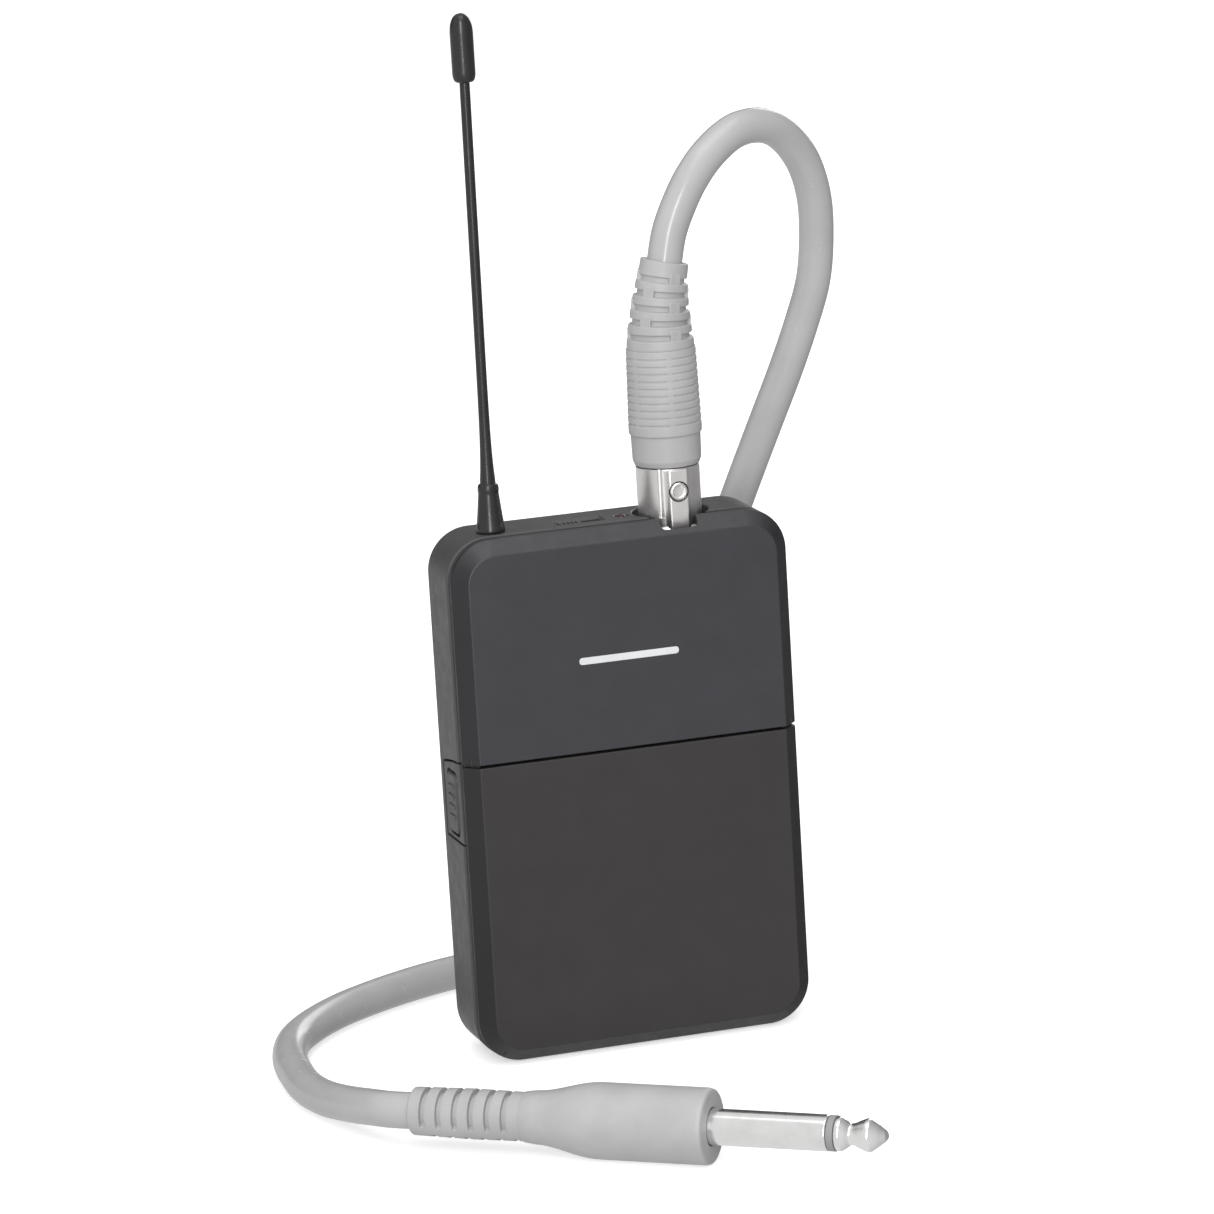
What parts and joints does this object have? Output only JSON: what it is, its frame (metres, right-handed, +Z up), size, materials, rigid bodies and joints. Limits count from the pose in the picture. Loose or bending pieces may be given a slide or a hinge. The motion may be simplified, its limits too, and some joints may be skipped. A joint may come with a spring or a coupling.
{
  "type": "wireless guitar transmitter",
  "caption": "Belt-pack radio transmitter with whip antenna, hinged battery door, belt clip and a short instrument lead from a locking mini connector to a phone plug.",
  "frame": {"origin": "middle of the bottom of the pack and its belt clip, on the surface it stands on", "axes": "+Z up along the antenna; -Y out of the pack's front face; +X to the right seen from the front"},
  "size_m": [0.1223, 0.1538, 0.1923],
  "materials": {
    "case_plastic": "fine spark texture, satin",
    "antenna_rubber": "smooth, satin",
    "grey_rubber": "moulded, satin",
    "cord_jacket": "smooth PVC, satin",
    "chrome": "nickel-bright, polished",
    "steel": "zinc plated",
    "brass": "bright",
    "circuit_board": "green solder mask",
    "black_insulator": "moulded",
    "capacitor_sleeve": "shrink sleeve",
    "trim_plastic": "moulded",
    "cell_wrap": "printed film, plain",
    "led_lens": "tinted, clear"
  },
  "bodies": {
    "root": {"rear_shell": "case_plastic", "front_shell": "case_plastic", "belt_clip_base": "case_plastic", "antenna_boot": "antenna_rubber", "phone_plug_boot": "grey_rubber", "phone_plug_handle": "grey_rubber", "cord_lower": "cord_jacket", "jack_shell": "chrome", "jack_nut": "chrome", "phone_plug_sleeve": "chrome", "phone_plug_tip": "chrome", "door_hinge_pin_left": "steel", "door_hinge_pin_right": "steel", "case_screw_lower_left": "steel", "case_screw_lower_right": "steel", "case_screw_upper_left": "steel", "case_screw_upper_right": "steel", "belt_clip_pin": "steel", "belt_clip_spring": "steel", "belt_clip_screw_lower": "steel", "belt_clip_screw_upper": "steel", "rf_shield_can": "steel", "crystal_can": "steel", "contact_bridge": "steel", "contact_plate_positive": "steel", "contact_plate_negative": "steel", "contact_spring_lower": "steel", "contact_spring_upper": "steel", "antenna_ferrule": "brass", "jack_pin_1": "brass", "jack_pin_2": "brass", "jack_pin_3": "brass", "main_board": "circuit_board", "gain_board": "circuit_board", "processor_chip": "black_insulator", "audio_chip": "black_insulator", "coil_inductor": "black_insulator", "power_switch_body": "black_insulator", "gain_trim_body": "black_insulator", "jack_insert": "black_insulator", "phone_plug_insulator": "black_insulator", "capacitor_large": "capacitor_sleeve", "capacitor_small": "capacitor_sleeve", "battery_left": "cell_wrap", "battery_right": "cell_wrap", "status_led": "led_lens"},
    "door": {"battery_door": "case_plastic"},
    "latch_left": {"door_latch_left": "case_plastic"},
    "latch_right": {"door_latch_right": "case_plastic"},
    "clip": {"belt_clip": "case_plastic"},
    "switch_knob": {"power_switch_knob": "case_plastic"},
    "trim_rotor": {"gain_trim_rotor": "trim_plastic"},
    "antenna": {"antenna_whip": "antenna_rubber", "antenna_tip": "antenna_rubber"},
    "cable_plug": {"cable_plug_shell": "chrome", "cable_plug_insert": "black_insulator", "cable_plug_grip": "grey_rubber", "cable_plug_strain_relief": "grey_rubber", "cord_upper": "cord_jacket"},
    "plug_button": {"cable_plug_button": "chrome"}
  },
  "joints": [
    {"name": "door_hinge", "type": "hinge", "parent": "root", "child": "door", "pos_m": [0, -0.0118, 0.0035], "axis": [1, 0, 0], "range_deg": [0, 90]},
    {"name": "latch_left_press", "type": "slide", "parent": "door", "child": "latch_left", "axis": [1, 0, 0], "range_m": [0, 0.0012], "stiffness_N_per_m": 1000},
    {"name": "latch_right_press", "type": "slide", "parent": "door", "child": "latch_right", "axis": [-1, 0, 0], "range_m": [0, 0.0012], "stiffness_N_per_m": 1000},
    {"name": "belt_clip_hinge", "type": "hinge", "parent": "root", "child": "clip", "pos_m": [0, 0.0102, 0.079], "axis": [1, 0, 0], "range_deg": [0, 15], "stiffness_Nm_per_rad": 0.3},
    {"name": "power_switch_slide", "type": "slide", "parent": "root", "child": "switch_knob", "axis": [1, 0, 0], "range_m": [0, 0.003]},
    {"name": "gain_trim_turn", "type": "hinge", "parent": "root", "child": "trim_rotor", "pos_m": [0.0235, -0.0016, 0.046], "axis": [0, 1, 0], "range_deg": [-135, 135]},
    {"name": "antenna_flex", "type": "hinge", "parent": "root", "child": "antenna", "pos_m": [-0.022, -0.0058, 0.107], "axis": [0, 1, 0], "range_deg": [-20, 20], "stiffness_Nm_per_rad": 0.01},
    {"name": "cable_plug_pull", "type": "slide", "parent": "root", "child": "cable_plug", "axis": [0, 0, 1], "range_m": [0, 0.014]},
    {"name": "plug_button_press", "type": "slide", "parent": "cable_plug", "child": "plug_button", "axis": [0, 1, 0], "range_m": [0, 0.0008], "stiffness_N_per_m": 800}
  ]
}
